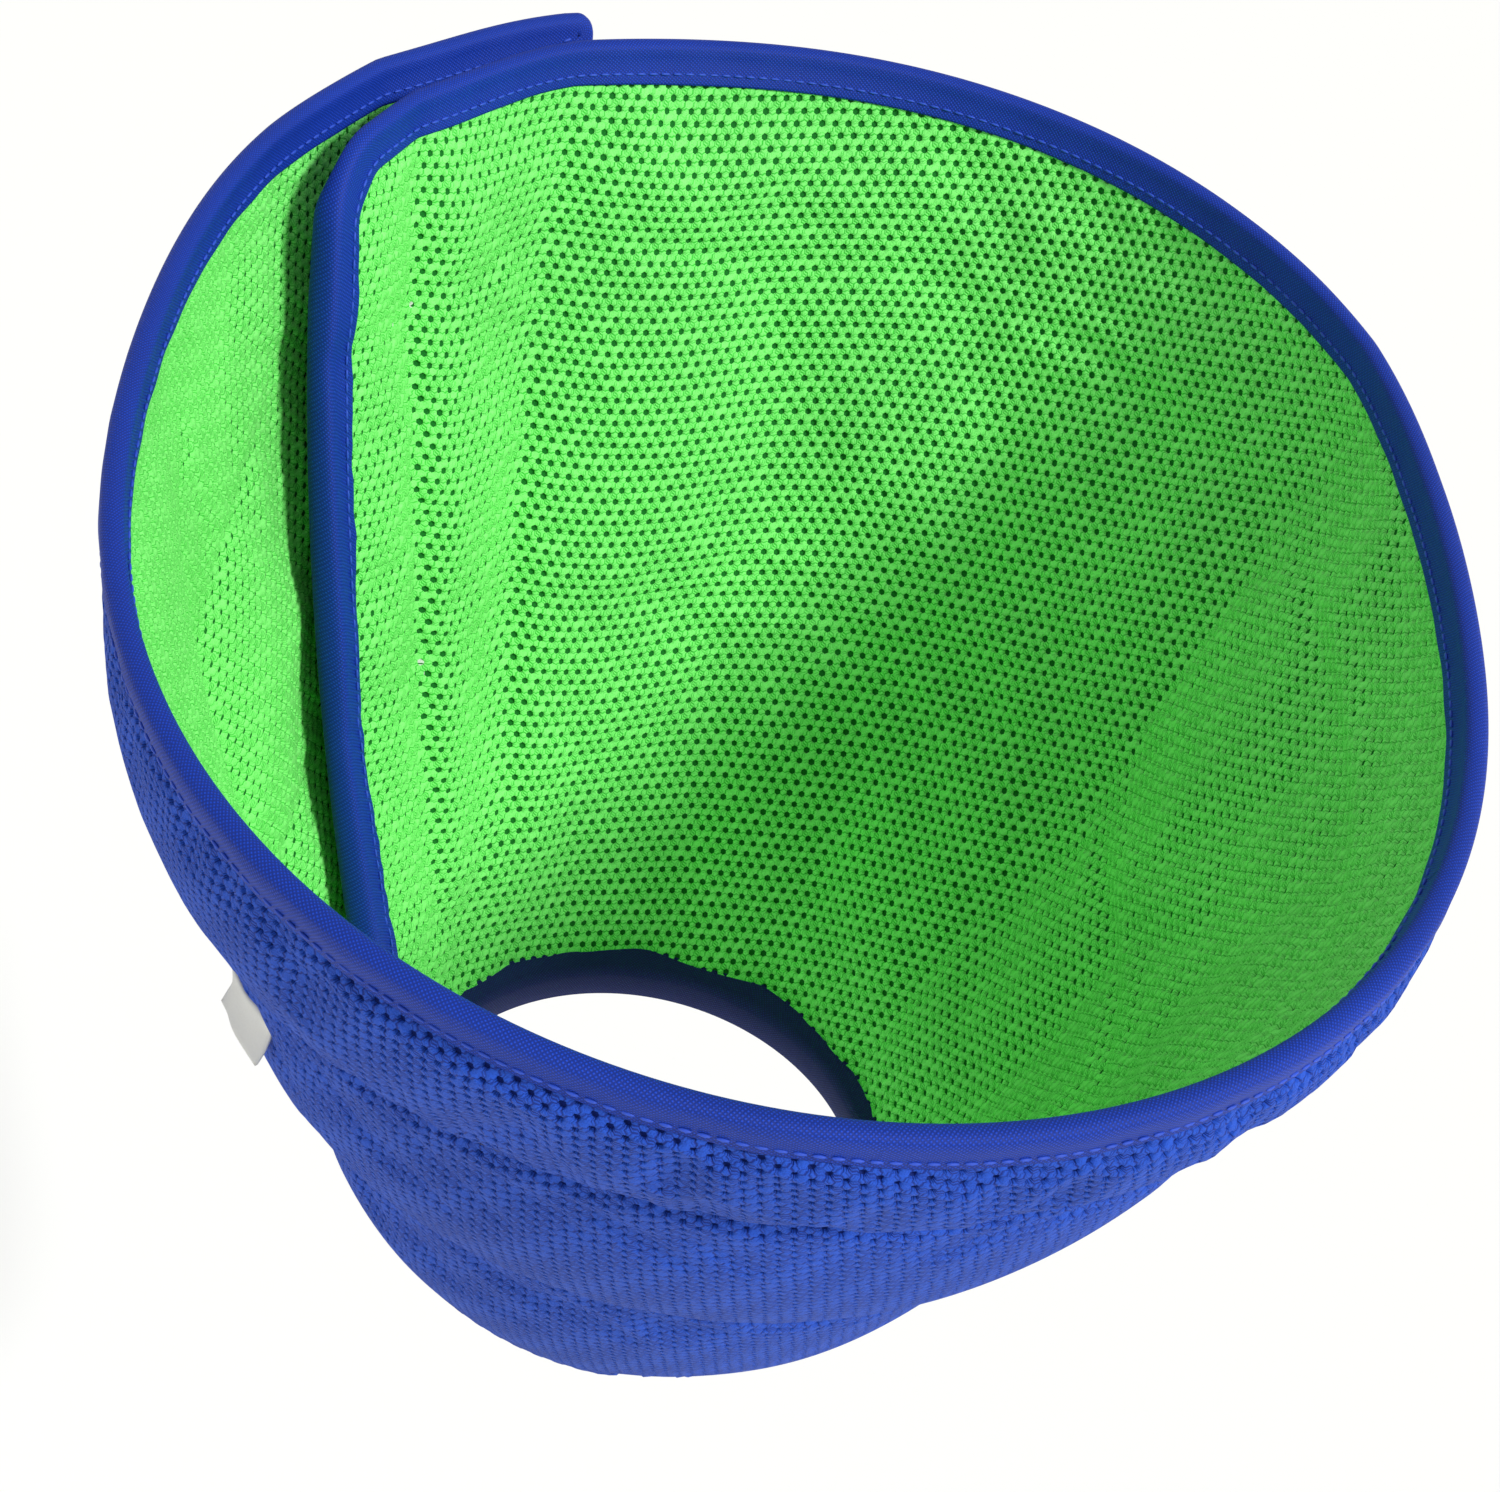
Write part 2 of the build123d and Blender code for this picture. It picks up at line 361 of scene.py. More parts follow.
# %% Read the simulated map at any place
def weights(share):
    """Weights of the four neighbours of a cubic through evenly spaced values."""
    a, b, c = share, share * share, share ** 3
    return (0.5 * (-c + 2 * b - a), 0.5 * (3 * c - 5 * b + 2),
            0.5 * (-3 * c + 4 * b + a), 0.5 * (c - b))


def sampled(field, wrap, height):
    """Smooth value of a grid field at wrap angles and height shares."""
    x = np.clip(np.asarray(wrap, float) / REACH, 0.0, 1.0) * (COLUMNS - 1)
    y = np.clip(np.asarray(height, float), 0.0, 1.0) * (ROWS - 1)
    i = np.minimum(x.astype(int), COLUMNS - 2)
    j = np.minimum(y.astype(int), ROWS - 2)
    across_x, across_y = weights(x - i), weights(y - j)
    total = 0.0
    for p in range(4):
        for q in range(4):
            column = np.clip(i + p - 1, 0, COLUMNS - 1)
            row = np.clip(j + q - 1, 0, ROWS - 1)
            total = total + (across_x[p] * across_y[q])[:, None] * field[column, row]
    return total


def worn(wrap, height, across):
    """Points on the worn wall, with the simulated puffs."""
    wrap, height = np.broadcast_arrays(np.asarray(wrap, float), np.asarray(height, float))
    wrap, height = wrap.ravel(), height.ravel()
    shift = (1.0 - across) * sampled(outer_shift, wrap, height)
    shift = shift + across * sampled(inner_shift, wrap, height)
    return wall_points(wrap, height, across) + shift


# %% [markdown]
# ## Materials
# The two meshes are knitted polyester: soft, matt, with a little sheen at grazing angles.  The
# yarn shows as fine ribs.  Each colour varies slightly from yarn to yarn, which keeps a bright
# cloth from looking like paint.  The binding is a woven polyester tape with a diagonal twill.

# %% Cloth material builder
ONE_RIB = 0.3142                          # wave scale that gives one rib in each unit


def cloth_material(name, base, dark, rib_mm, bump, sheen, rough, pattern="knit"):
    """Matt textile with yarn ribs, colour variation between yarns and a grazing sheen."""
    material = bpy.data.materials.new(name)
    material.use_nodes = True
    tree = material.node_tree
    tree.nodes.clear()
    place = add(tree, "ShaderNodeTexCoord")
    cloth = add(tree, "ShaderNodeMapping", {"Vector": place.outputs["UV"]})
    cloth.inputs["Scale"].default_value = (1.0 / rib_mm, 1.0 / rib_mm, 1.0)
    if pattern == "twill":
        cloth.inputs["Rotation"].default_value = (0.0, 0.0, math.radians(38.0))
    ribs = add(tree, "ShaderNodeTexWave", {
        "Vector": cloth.outputs["Vector"], "Scale": ONE_RIB, "Distortion": 1.4, "Detail": 2.0,
        "Detail Scale": 2.0})
    cross = add(tree, "ShaderNodeTexWave", {
        "Vector": cloth.outputs["Vector"], "Scale": ONE_RIB, "Distortion": 1.0, "Detail": 1.0},
        bands_direction="Y")
    weave = add(tree, "ShaderNodeMath", {0: ribs.outputs["Fac"], 1: cross.outputs["Fac"]},
                operation="MAXIMUM" if pattern == "knit" else "MULTIPLY")
    fuzz = add(tree, "ShaderNodeTexNoise", {"Vector": place.outputs["Object"], "Scale": 2600.0,
                                            "Detail": 3.0, "Roughness": 0.6})
    wear = add(tree, "ShaderNodeTexNoise", {"Vector": place.outputs["Object"], "Scale": 16.0,
                                            "Detail": 4.0, "Roughness": 0.55})
    mixed = add(tree, "ShaderNodeMath", {0: weave.outputs[0], 1: fuzz.outputs["Fac"]},
                operation="MULTIPLY")
    shade = add(tree, "ShaderNodeMapRange", {"Value": mixed.outputs[0], "From Min": 0.05,
                                             "From Max": 0.5})
    colour = add(tree, "ShaderNodeMix", {0: shade.outputs[0], 6: linear(dark), 7: linear(base)},
                 data_type="RGBA")
    drift = add(tree, "ShaderNodeMapRange", {"Value": wear.outputs["Fac"], "From Min": 0.3,
                                             "From Max": 0.7, "To Min": 0.90, "To Max": 1.06})
    tinted = add(tree, "ShaderNodeHueSaturation", {"Color": colour.outputs[2],
                                                   "Value": drift.outputs[0]})
    height = add(tree, "ShaderNodeMath", {0: weave.outputs[0], 1: fuzz.outputs["Fac"]},
                 operation="ADD")
    raised = add(tree, "ShaderNodeBump", {"Height": height.outputs[0], "Strength": bump,
                                          "Distance": 0.0004})
    shader = add(tree, "ShaderNodeBsdfPrincipled", {
        "Base Color": tinted.outputs["Color"], "Roughness": rough, "Normal": raised.outputs["Normal"],
        "IOR": 1.53, "Specular IOR Level": 0.25, "Sheen Weight": sheen, "Sheen Roughness": 0.4,
        "Sheen Tint": linear(base)})
    add(tree, "ShaderNodeOutputMaterial", {"Surface": shader.outputs["BSDF"]})
    return material


# %% The collar's finishes
# Knitted polyester air mesh, dyed leaf green: bright, soft and slightly translucent looking.
lining_face = cloth_material("green_air_mesh", "8CFC80", "3CCB3A", 0.9, 0.5, 0.4, 0.75)
# The hole floor is the mesh's inner yarn, coloured darker as painted shade inside each hole.
lining_hole_in_shade = cloth_material("green_mesh_core", "17822A", "0B5518", 0.6, 0.6, 0.1, 0.9)
# Knitted polyester spacer mesh, dyed royal blue: thicker yarn, deeper holes.
outer_face_cloth = cloth_material("blue_spacer_mesh", "2054C8", "102C88", 1.0, 0.7, 0.12, 0.72)
# The hole floor is the spacer's inner yarn, coloured darker as painted shade inside each hole.
outer_hole_in_shade = cloth_material("blue_mesh_core", "17348A", "0C1C58", 0.6, 0.6, 0.1, 0.9)
# Woven polyester bias tape: a fine diagonal twill with a soft lustre.
binding_tape = cloth_material("blue_bias_tape", "0C48D0", "072A88", 0.8, 0.4, 0.06, 0.6, "twill")
neck_cloth = cloth_material("navy_neck_cloth", "1C2F86", "0E1A52", 0.8, 0.4, 0.2, 0.7, "twill")
thread = cloth_material("light_blue_thread", "5C82F0", "2F52C4", 0.3, 0.3, 0.3, 0.45, "twill")
seam_thread = cloth_material("navy_thread", "101F68", "080F3C", 0.3, 0.3, 0.2, 0.5, "twill")
foam = cloth_material("polyethylene_foam", "D9DAD6", "B9BAB4", 1.2, 0.3, 0.0, 0.85)
hook_tape = cloth_material("nylon_hook_tape", "1A2552", "0A1024", 0.7, 1.0, 0.1, 0.5)
loop_tape = cloth_material("nylon_loop_tape", "22336E", "131D45", 0.9, 0.9, 0.5, 0.85)
label_satin = cloth_material("woven_satin_label", "F4F4F0", "D8D8D2", 0.35, 0.2, 0.3, 0.4, "twill")
print("materials:", len(bpy.data.materials))

# %% [markdown]
# ## Perforated mesh by Geometry Nodes
# An air mesh is a lattice of holes with yarn between.  Modelled as a honeycomb, each cell's
# face can be extruded, shrunk to the hole's size, and pushed in by the yarn's thickness.  A
# node tree does that to every cell at once, and its inputs keep the hole and depth adjustable.

# %% Perforation tree
def new_tree(name, sizes, materials):
    """Geometry node group with a mesh input, named sizes and named materials."""
    tree = bpy.data.node_groups.new(name, "GeometryNodeTree")
    tree.interface.new_socket("Mesh", in_out="INPUT", socket_type="NodeSocketGeometry")
    for label in sizes:
        tree.interface.new_socket(label, in_out="INPUT", socket_type="NodeSocketFloat")
    for label in materials:
        tree.interface.new_socket(label, in_out="INPUT", socket_type="NodeSocketMaterial")
    tree.interface.new_socket("Mesh", in_out="OUTPUT", socket_type="NodeSocketGeometry")
    return tree


def apply_tree(obj, tree, **values):
    """Run a node tree on an object with its inputs set by identifier, and keep the result."""
    modifier = obj.modifiers.new(tree.name, "NODES")
    modifier.node_group = tree
    for item in tree.interface.items_tree:
        key = item.name.lower().replace(" ", "_")
        if item.in_out == "INPUT" and key in values:
            modifier[item.identifier] = values[key]
    return baked(obj)


perforate = new_tree("perforate", ("Hole Share", "Yarn Depth"), ("Face Cloth", "Hole Cloth"))
entry = add(perforate, "NodeGroupInput")
open_cells = add(perforate, "GeometryNodeInputNamedAttribute", {"Name": "open"}, data_type="FLOAT")
share = add(perforate, "ShaderNodeMath", {0: entry.outputs["Hole Share"],
            1: open_cells.outputs["Attribute"]}, operation="MULTIPLY")
inset = add(perforate, "GeometryNodeExtrudeMesh", {"Mesh": entry.outputs["Mesh"],
            "Offset Scale": 0.0}, mode="FACES")
shrunk = add(perforate, "GeometryNodeScaleElements", {"Geometry": inset.outputs["Mesh"],
             "Selection": inset.outputs["Top"], "Scale": share.outputs[0]}, domain="FACE")
inward = add(perforate, "ShaderNodeMath", {0: entry.outputs["Yarn Depth"], 1: -1.0},
             operation="MULTIPLY")
sunk = add(perforate, "GeometryNodeExtrudeMesh", {"Mesh": shrunk.outputs["Geometry"],
           "Selection": inset.outputs["Top"], "Offset Scale": inward.outputs[0]}, mode="FACES")
narrowed = add(perforate, "GeometryNodeScaleElements", {"Geometry": sunk.outputs["Mesh"],
               "Selection": sunk.outputs["Top"], "Scale": 0.8}, domain="FACE")
faced = add(perforate, "GeometryNodeSetMaterial", {"Geometry": narrowed.outputs["Geometry"],
            "Material": entry.outputs["Face Cloth"]})
# The sunk hole floors take the darker hole cloth, which paints the shade inside each hole.
holed = add(perforate, "GeometryNodeSetMaterial", {"Geometry": faced.outputs["Geometry"],
            "Selection": sunk.outputs["Top"], "Material": entry.outputs["Hole Cloth"]})
real = add(perforate, "GeometryNodeRealizeInstances", {"Geometry": holed.outputs["Geometry"]})
add(perforate, "NodeGroupOutput", {"Mesh": real.outputs["Geometry"]})

# %% [markdown]
# ## Stitches by Geometry Nodes
# A row of lockstitch is one short bead of thread repeated at an even pitch.  The tree turns a
# path into evenly spaced points, puts a small bead on each, and lines it up with the path.

# %% Stitch tree
stitch_row = new_tree("stitch_row", ("Pitch", "Stitch Length", "Thread Radius"), ("Thread",))
entry = add(stitch_row, "NodeGroupInput")
path = add(stitch_row, "GeometryNodeMeshToCurve", {"Mesh": entry.outputs["Mesh"]})
spaced = add(stitch_row, "GeometryNodeResampleCurve", {"Curve": path.outputs["Curve"],
             "Length": entry.outputs["Pitch"]}, mode="LENGTH")
tangent = add(stitch_row, "GeometryNodeInputTangent")
turned = add(stitch_row, "FunctionNodeAlignRotationToVector",
             {"Vector": tangent.outputs["Tangent"]}, axis="Z")
bead = add(stitch_row, "GeometryNodeMeshUVSphere", {"Segments": 6, "Rings": 5, "Radius": 0.5})
twice = add(stitch_row, "ShaderNodeMath", {0: entry.outputs["Thread Radius"], 1: 2.0},
            operation="MULTIPLY")
size = add(stitch_row, "ShaderNodeCombineXYZ", {0: twice.outputs[0], 1: twice.outputs[0],
           2: entry.outputs["Stitch Length"]})
beads = add(stitch_row, "GeometryNodeInstanceOnPoints", {"Points": spaced.outputs["Curve"],
            "Instance": bead.outputs["Mesh"], "Rotation": turned.outputs["Rotation"],
            "Scale": size.outputs["Vector"]})
real = add(stitch_row, "GeometryNodeRealizeInstances", {"Geometry": beads.outputs["Instances"]})
rounded = add(stitch_row, "GeometryNodeSetShadeSmooth", {"Geometry": real.outputs["Geometry"]})
coloured = add(stitch_row, "GeometryNodeSetMaterial", {"Geometry": rounded.outputs["Geometry"],
               "Material": entry.outputs["Thread"]})
add(stitch_row, "NodeGroupOutput", {"Mesh": coloured.outputs["Geometry"]})

# %% [markdown]
# ## Splitting the strip at its folds
# Cloth bends across a fold, so each visible piece is centred on one fold and ends in the middle
# of the panels beside it.

# %% Stretches centred on the folds
MIDDLES = np.cumsum(PANEL_SPANS) - np.array(PANEL_SPANS) / 2.0


def stretch(k):
    """Wrap angles where the pieces of fold k start and end, k from 1 to 8."""
    start = 0.0 if k == 1 else float(MIDDLES[k - 1])
    end = REACH if k == len(FOLDS) else float(MIDDLES[k])
    return start, end


def bend(obj):
    """Bake a piece's placement into its mesh."""
    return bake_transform(obj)


print("stretches:", [tuple(round(v, 1) for v in stretch(k)) for k in range(1, 9)])

# %% [markdown]
# ## Honeycomb sheets
# The base of each mesh is a sheet of six-sided cells on the flat cut.  Every cell belongs to the
# stretch that its centre lies in, so neighbouring stretches fit like a jigsaw and no hole is cut.

# %% Honeycomb builder
CELL = 0.0040                             # hole spacing of the air mesh
CORNER_OUTER = 0.004                      # corner radius of the outer end at the rim
CORNER_FLAP = 0.020                       # corner radius of the flap at the rim
HOLES_LOW = 0.008                         # no cells nearer the neck edge than this
HOLES_MARGIN = 0.004                      # nor nearer the other edges than this
RIM_SEAM = 0.962                          # height share where the tape holds the outer mesh
# Below each ring seam and the rim tape the holes open wider, so their dark floors paint the shade
# there.
SEAM_SHADE_REACH = (0.022, 0.034, 0.062)         # height share over which holes open below each seam


def degrees_per_metre(wrap, height):
    """Wrap degrees in a metre of girth, at a place on the wall."""
    radius = neck_face(wrap) + (rim_face(wrap) - neck_face(wrap)) * height
    return np.degrees(1.0 / radius)


def inside_corners(wrap, height, margin):
    """True where a place lies at least margin inside the strip's ends, rim and round corners."""
    scale = degrees_per_metre(wrap, height)
    from_rim = (1.0 - height) * SLANT_LENGTH
    kept = from_rim > margin
    to_flap = (flap_end(height) - wrap) / scale
    for distance, radius in ((wrap / scale, CORNER_OUTER), (to_flap, CORNER_FLAP)):
        kept &= distance > margin
        corner = (distance < radius) & (from_rim < radius)
        kept &= ~(corner & (np.hypot(radius - distance, radius - from_rim) > radius - margin))
    return kept


def openness(wrap, height, across):
    """How far the holes open: widest just below each seam, where more dark hole floor paints the shade
    under the tier.
    """
    steady = 0.94 + 0.06 * np.sin(wrap * 2.3) * np.sin(height * 61.0)
    if across > 0.5:
        return steady
    seam_shade = np.zeros_like(height)
    lines = (seam(0, wrap), seam(1, wrap), np.full_like(wrap, RIM_SEAM))
    for line, reach in zip(lines, SEAM_SHADE_REACH):
        below = (line - height) / reach
        open_here = np.where(below > -0.35, np.exp(-np.maximum(below, 0.0) ** 3), 0.0)
        seam_shade = np.maximum(seam_shade, open_here)
    return steady * (0.60 + 0.34 * seam_shade)


def honeycomb(name, start, end, across, cell):
    """Sheet of six-sided cells on one face of the wall, its faces pointing away from the wall."""
    half = RING_OUTER * math.sin(min(SECTOR / 2.0, math.pi / 2.0)) + cell
    columns = np.arange(-int(half / cell) - 1, int(half / cell) + 2)
    rows = np.arange(0, int(RING_OUTER / (cell * 0.866)) + 2)
    column, row = np.meshgrid(columns, rows)
    centre = np.stack([(column + 0.5 * (row % 2)) * cell, row * cell * math.sqrt(0.75)], -1)
    centre = centre.reshape(-1, 2)
    wrap, height = to_wall(centre)
    low = HOLES_LOW / SLANT_LENGTH
    kept = (wrap >= start) & (wrap < end) & (height > low) & (height < 1.0)
    kept &= inside_corners(wrap, height, HOLES_MARGIN)
    centre = centre[kept]
    angles = np.radians(30.0 + 60.0 * np.arange(6))
    if across > 0.5:
        angles = angles[::-1]
    ring = np.stack([np.cos(angles), np.sin(angles)], -1) * cell / math.sqrt(3.0)
    corners = (centre[:, None, :] + ring[None]).reshape(-1, 2)
    keys, index = np.unique(np.round(corners / cell * 100.0).astype(int), axis=0, return_inverse=True)
    flat = np.zeros((len(keys), 2))
    flat[index.ravel()] = corners
    open_share = openness(*to_wall(centre), across)
    wrap, height = to_wall(flat)
    points = worn(np.clip(wrap, 0.0, REACH), np.clip(height, 0.0, 1.0), across)
    sheet = mesh_object(name, points, index.reshape(-1, 6), uv=flat * 1000.0)
    sheet.data.attributes.new("open", "FLOAT", "FACE").data.foreach_set("value", open_share)
    return sheet, len(centre)


# %% [markdown]
# ## Lining and outer mesh
# Both meshes are laid out the same way.  The lining has finer yarn and shallower holes; the
# outer spacer mesh is thicker, and its holes are a little larger.

# %% Make the two meshes
LINING_HOLE, LINING_DEPTH = 0.60, 0.0008
OUTER_HOLE, OUTER_DEPTH = 0.58, 0.0010
linings, outers = [], []
cells = 0
for k in range(1, 9):
    start, end = stretch(k)
    sheet, count = honeycomb(f"lining_mesh_{k}", start, end, 1.0, CELL)
    cells += count
    sheet = apply_tree(sheet, perforate, hole_share=LINING_HOLE, yarn_depth=LINING_DEPTH,
                       face_cloth=lining_face, hole_cloth=lining_hole_in_shade)
    linings.append(smooth(sheet))
    sheet, count = honeycomb(f"outer_mesh_panel_{k}", start, end, 0.0, CELL * 0.95)
    cells += count
    sheet = apply_tree(sheet, perforate, hole_share=OUTER_HOLE, yarn_depth=OUTER_DEPTH,
                       face_cloth=outer_face_cloth, hole_cloth=outer_hole_in_shade)
    outers.append(smooth(sheet))
print("holes:", cells, "faces:", sum(len(o.data.polygons) for o in linings + outers))

# %% [markdown]
# ## The foam board
# Between the meshes lies a foam board.  It is a closed slab that follows the same wall in the
# middle of its thickness, so it never shows through the holes of either mesh.

# %% Closed slabs between two grids of points
def closed_slab(name, lower, upper, material):
    """Closed mesh between two matching grids of points."""
    columns, rows = lower.shape[:2]
    index = np.arange(columns * rows).reshape(columns, rows)
    quads = grid_faces(index)
    shift = columns * rows
    rim = np.concatenate([index[:, 0], index[-1, 1:], index[-2::-1, -1], index[0, -2:0:-1]])
    after = np.roll(rim, -1)
    walls = np.stack([rim, rim + shift, after + shift, after], -1)
    points = np.concatenate([lower.reshape(-1, 3), upper.reshape(-1, 3)])
    faces = np.concatenate([quads[:, ::-1], quads + shift, walls])
    flat = np.stack(np.meshgrid(np.arange(columns), np.arange(rows), indexing="ij"), -1)
    flat = flat.reshape(-1, 2) * 3.0
    obj = mesh_object(name, points, faces, uv=np.concatenate([flat, flat]))
    obj.data.materials.append(material)
    return recalculated(smooth(obj))


def recalculated(obj):
    """Faces outward on a closed mesh."""
    mesh = bmesh.new()
    mesh.from_mesh(obj.data)
    bmesh.ops.remove_doubles(mesh, verts=mesh.verts, dist=1e-6)
    bmesh.ops.recalc_face_normals(mesh, faces=mesh.faces)
    mesh.to_mesh(obj.data)
    mesh.free()
    return obj


FOAM_OUTER, FOAM_INNER = 0.42, 0.62
FOAM_GRID = (24, 40)
foams = []
for k in range(1, 9):
    start, end = stretch(k)
    u, h = np.meshgrid(np.linspace(0.0, 1.0, FOAM_GRID[0]), np.linspace(0.02, 0.985, FOAM_GRID[1]),
                       indexing="ij")
    first = start + (0.8 if k == 1 else 0.0)
    last = flap_end(h) - FLAP_HELD if k == 8 else end
    w = first + (last - first) * u
    inner = worn(w, h, FOAM_INNER).reshape(*FOAM_GRID, 3)
    outer = worn(w, h, FOAM_OUTER).reshape(*FOAM_GRID, 3)
    foams.append(closed_slab(f"foam_core_{k}", inner, outer, foam))
print("foam cores:", len(foams))

# %% [markdown]
# ## Binding tape
# The tape is one strip folded over the edge and stitched through.  It is swept along a path in
# wrap and height, and its two legs lie on the worn faces of the wall, so it rides over every
# bow and crease.  At the flap's corner the path turns through a round corner and runs down.

# %% Paths along the edges
def corner(edge_wrap, inward, radius, first, last):
    """Places and inward directions round a corner between a free end and the rim."""
    scale = float(degrees_per_metre(edge_wrap, 1.0))
    angle = np.radians(np.linspace(first, last, 13))
    wrap = edge_wrap + inward * radius * scale + radius * scale * np.cos(angle)
    height = 1.0 - radius / SLANT_LENGTH + radius / SLANT_LENGTH * np.sin(angle)
    return np.stack([wrap, height, -np.cos(angle), -np.sin(angle)], -1)


def straight(at, heights, inward):
    """Places along a straight edge with one inward direction."""
    places = np.stack(np.broadcast_arrays(at, heights), -1)
    return np.concatenate([places, np.broadcast_to(inward, places.shape)], axis=1)


NECK_BAND_TOP = 0.012 / DEPTH
PATH_STEP = 0.9                           # wrap degrees between rings of the rim tape


def edge_path(k):
    """Edge that the tape of fold k follows: rim, and a corner and free end on the last pieces."""
    start, end = stretch(k)
    scale = float(degrees_per_metre(0.0, 1.0))
    rim_start = CORNER_OUTER * scale if k == 1 else start
    rim_end = WRAP - CORNER_FLAP * float(degrees_per_metre(WRAP, 1.0)) if k == 8 else end
    count = int((rim_end - rim_start) / PATH_STEP) + 2
    path = straight(np.linspace(rim_start, rim_end, count), 1.0, (0.0, -1.0))
    if k == 1:
        heights = np.linspace(NECK_BAND_TOP, 1.0 - CORNER_OUTER / SLANT_LENGTH, 90)
        up = straight(0.0, heights[:-1], (1.0, 0.0))
        path = np.concatenate([up, corner(0.0, 1.0, CORNER_OUTER, 180.0, 90.0)[:-1], path])
    if k == 8:
        heights = np.linspace(1.0 - CORNER_FLAP / SLANT_LENGTH, NECK_BAND_TOP, 84)
        down = straight(WRAP, heights[1:], (-1.0, 0.0))
        path = np.concatenate([path, corner(WRAP, -1.0, CORNER_FLAP, 90.0, 0.0)[1:], down])
        path[:, 0] += (flap_end(path[:, 1]) - WRAP) * fade(path[:, 0], FOLDS[-1], WRAP)
    return path


# %% Points beside an edge
def inset_places(path, distance):
    """Wrap and height a distance inside an edge path."""
    scale = degrees_per_metre(path[:, 0], path[:, 1])
    wrap = path[:, 0] + path[:, 2] * distance * scale
    return wrap, path[:, 1] + path[:, 3] * distance / SLANT_LENGTH


def face_normals(wrap, height, across):
    """Unit normals of the worn wall, pointing out of the cone."""
    small_w, small_h = 0.4, 0.006
    a = worn(wrap + small_w, height, across) - worn(wrap - small_w, height, across)
    b = worn(wrap, height + small_h, across) - worn(wrap, height - small_h, across)
    normal = np.cross(a, b)
    return normal / np.linalg.norm(normal, axis=1, keepdims=True)


def beside(path, distance, across, lift):
    """Points on a face of the wall, a distance inside an edge and lifted off the face."""
    wrap, height = inset_places(path, distance)
    inner_w = np.clip(wrap, 0.4, REACH - 0.4)
    inner_h = np.clip(height, 0.0, 0.985)
    side = -1.0 if across > 0.5 else 1.0
    lift = side * np.broadcast_to(lift, wrap.shape)[:, None]
    return worn(wrap, height, across) + lift * face_normals(inner_w, inner_h, across)


# %% Sweep the tape
TAPE_LEG = 0.0104
TAPE_TOP = 0.0020                         # how far the fold stands past the wall's edge
LEG_STEPS = (1.0, 0.94, 0.72, 0.45, 0.2)  # rows down a leg, as shares of it


def swept(name, rings, material, lengths, capped=()):
    """Tube through rings of points, with a cap at each ring listed."""
    rings = np.stack(rings, axis=1)
    count, around = rings.shape[:2]
    index = np.arange(count * around).reshape(count, around)
    beyond = np.roll(index, -1, axis=1)
    quads = np.stack([index[:-1], index[1:], beyond[1:], beyond[:-1]], -1).reshape(-1, 4)
    caps = [index[ring].tolist() for ring in capped]
    uv = np.stack([np.repeat(lengths, around), np.tile(path_lengths(rings[0]), count)], -1) * 1000.0
    obj = mesh_object(name, rings.reshape(-1, 3), quads.tolist() + caps, uv=uv)
    obj.data.materials.append(material)
    recalculated(smooth(obj))
    for face in obj.data.polygons:
        face.use_smooth = face.loop_total == 4
    return obj


def tape_along(name, path, material):
    """Binding tape folded over an edge."""
    middle = worn(path[:, 0], path[:, 1], 0.5)
    lengths = path_lengths(middle)
    on_rim = -1 if name.endswith("_1") else 0
    lengths += np.interp(path[on_rim, 0], wraps, rim_length) - lengths[on_rim]
    pucker = 0.00018 * np.sin(lengths / 0.0042) * np.sin(lengths / 0.031)
    legs = []
    for across in (0.0, 1.0):
        leg = [beside(path, TAPE_LEG * 0.98, across, -0.0004)]
        for share in LEG_STEPS:
            lift = TAPE * (0.7 if share == 1.0 else 1.0) + pucker
            leg.append(beside(path, TAPE_LEG * share, across, lift))
        legs.append(leg)
    outer = worn(path[:, 0], path[:, 1], 0.0)
    inner = worn(path[:, 0], path[:, 1], 1.0)
    inward_w, inward_h = inset_places(path, 0.002)
    out_of_edge = middle - worn(inward_w, inward_h, 0.5)
    out_of_edge /= np.linalg.norm(out_of_edge, axis=1, keepdims=True)
    half = (outer - inner) / 2.0
    half += half / np.linalg.norm(half, axis=1, keepdims=True) * TAPE
    fold = [middle + half * math.cos(angle) + out_of_edge * TAPE_TOP * math.sin(angle)
            for angle in np.radians((12, 35, 60, 90, 120, 145, 168))]
    return swept(name, legs[0] + fold + legs[1][::-1], material, lengths)


# %% [markdown]
# ## Neck band
# At the neck the cloth is rolled over a soft cord of padding, so its section is rounder than
# the rim's tape, and its inner face stands upright against the neck.

# %% Sweep the neck band
BAND_TOP = 0.0125
BAND_SLOPE = 0.42                         # the inner face leans out where it laps the flap
BAND_UPRIGHT = (84.0, 96.0)               # wrap angles over which it turns upright
BAND_ROUND, BAND_ROUND_HEIGHT = 0.0028, 0.0012


